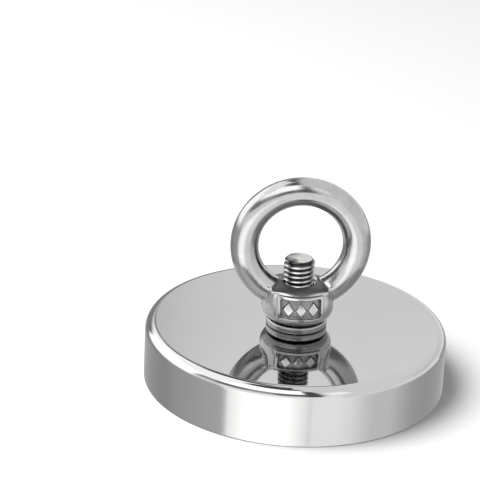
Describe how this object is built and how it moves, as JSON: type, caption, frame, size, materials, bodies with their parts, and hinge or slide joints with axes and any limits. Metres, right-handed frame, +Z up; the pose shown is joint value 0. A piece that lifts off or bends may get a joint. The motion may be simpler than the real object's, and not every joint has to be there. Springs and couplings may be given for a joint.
{
  "type": "magnet fishing magnet",
  "caption": "Round nickel-plated pot magnet with a lifting eye nut and split lock washer on a threaded stud at its back.",
  "frame": {"origin": "centre of the flat working face, which is the lowest plane of the magnet", "axes": "+Z up along the stud, +X across the ring of the eye nut, the ring stands in the XZ plane"},
  "size_m": [0.09, 0.09, 0.0643],
  "materials": {
    "nickel_plate": "bright nickel plating",
    "magnet_nickel": "dull nickel-plated sintered magnet",
    "epoxy": "black potting resin",
    "screw_steel": "machined thread",
    "washer_steel": "satin spring steel",
    "stainless": "polished and satin cast stainless steel"
  },
  "bodies": {
    "magnet_pot": {"pot_cup": "nickel_plate", "ring_magnet": "magnet_nickel", "outer_potting_ring": "epoxy", "inner_potting_ring": "epoxy", "centre_bush": "nickel_plate", "countersunk_screw": "screw_steel"},
    "lock_washer": {"lock_washer": "washer_steel"},
    "eye_nut": {"eye_nut": "stainless"}
  },
  "joints": [
    {"name": "eye_nut_turn", "type": "hinge", "parent": "magnet_pot", "child": "lock_washer", "pos_m": [0, 0, 0.018], "axis": [0, 0, 1], "range_deg": [0, 4770]},
    {"name": "eye_nut_rise", "type": "slide", "parent": "lock_washer", "child": "eye_nut", "axis": [0, 0, 1], "range_m": [0, 0.0199]}
  ],
  "couplings": [
    {"joint": "eye_nut_rise", "follows": "eye_nut_turn", "m_per_rad": 0.00023873}
  ]
}
